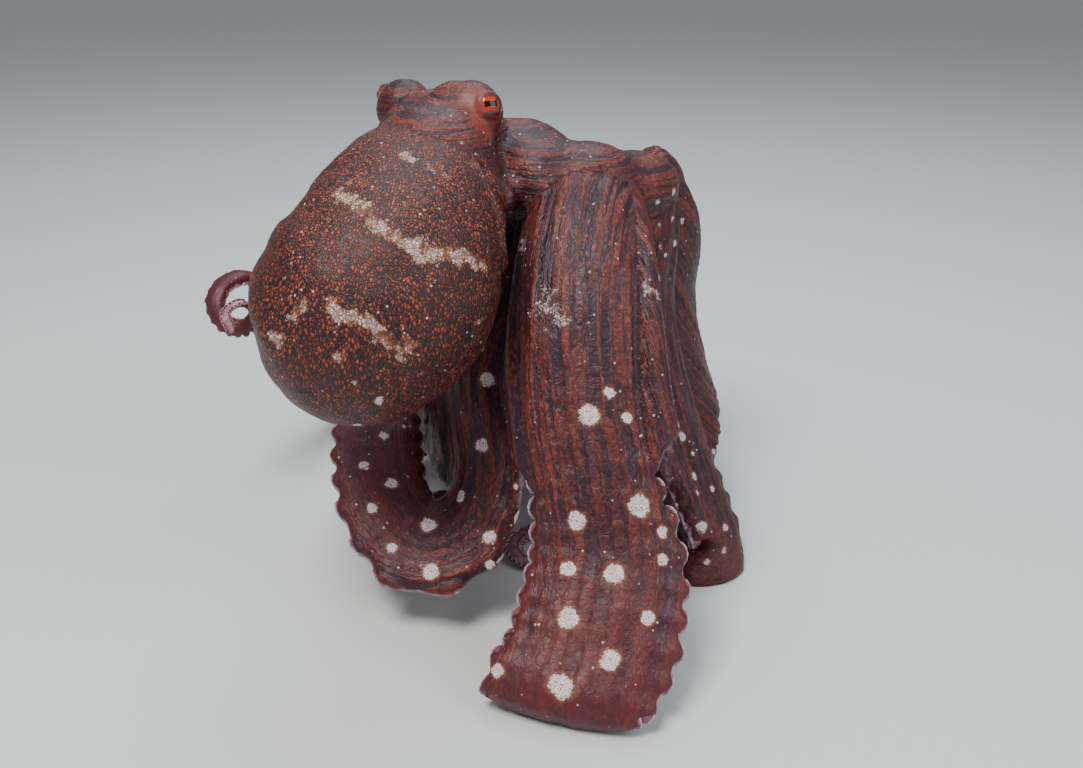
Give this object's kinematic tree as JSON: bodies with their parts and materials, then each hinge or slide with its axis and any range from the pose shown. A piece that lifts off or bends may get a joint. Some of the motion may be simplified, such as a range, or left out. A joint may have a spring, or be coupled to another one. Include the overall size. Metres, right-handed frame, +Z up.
{
  "type": "octopus",
  "caption": "Day octopus at life size, sitting tall on its arms with the web spread like a tent and the mantle hanging to the front.",
  "frame": {"origin": "middle of the bounding box, on the floor", "axes": "+Z up, -Y towards the side that the mantle hangs on, +X towards the animal's right first arm; the rear arms stretch along +Y"},
  "size_m": [0.3336, 0.5718, 0.2563],
  "materials": {
    "skin": "moist brown-red skin with white spots",
    "eye": "wet and glossy, with a slit pupil"
  },
  "bodies": {
    "root": {"arm_right_1_base": "skin", "arm_right_1_middle": "skin", "arm_right_1_tip": "skin", "arm_right_2_base": "skin", "arm_right_2_middle": "skin", "arm_right_2_tip": "skin", "arm_right_3_base": "skin", "arm_right_3_middle": "skin", "arm_right_3_tip": "skin", "arm_right_4_base": "skin", "arm_right_4_middle": "skin", "arm_right_4_tip": "skin", "arm_left_4_base": "skin", "arm_left_4_middle": "skin", "arm_left_4_tip": "skin", "arm_left_3_base": "skin", "arm_left_3_middle": "skin", "arm_left_3_tip": "skin", "arm_left_2_base": "skin", "arm_left_2_middle": "skin", "arm_left_2_tip": "skin", "arm_left_1_base": "skin", "arm_left_1_middle": "skin", "arm_left_1_tip": "skin", "web_right_1_right_2": "skin", "web_right_2_right_3": "skin", "web_right_3_right_4": "skin", "web_right_4_left_4": "skin", "web_left_4_left_3": "skin", "web_left_3_left_2": "skin", "web_left_2_left_1": "skin", "web_left_1_right_1": "skin", "head": "skin", "mantle": "skin", "funnel": "skin", "eye_right": "eye", "eye_left": "eye"}
  },
  "joints": []
}
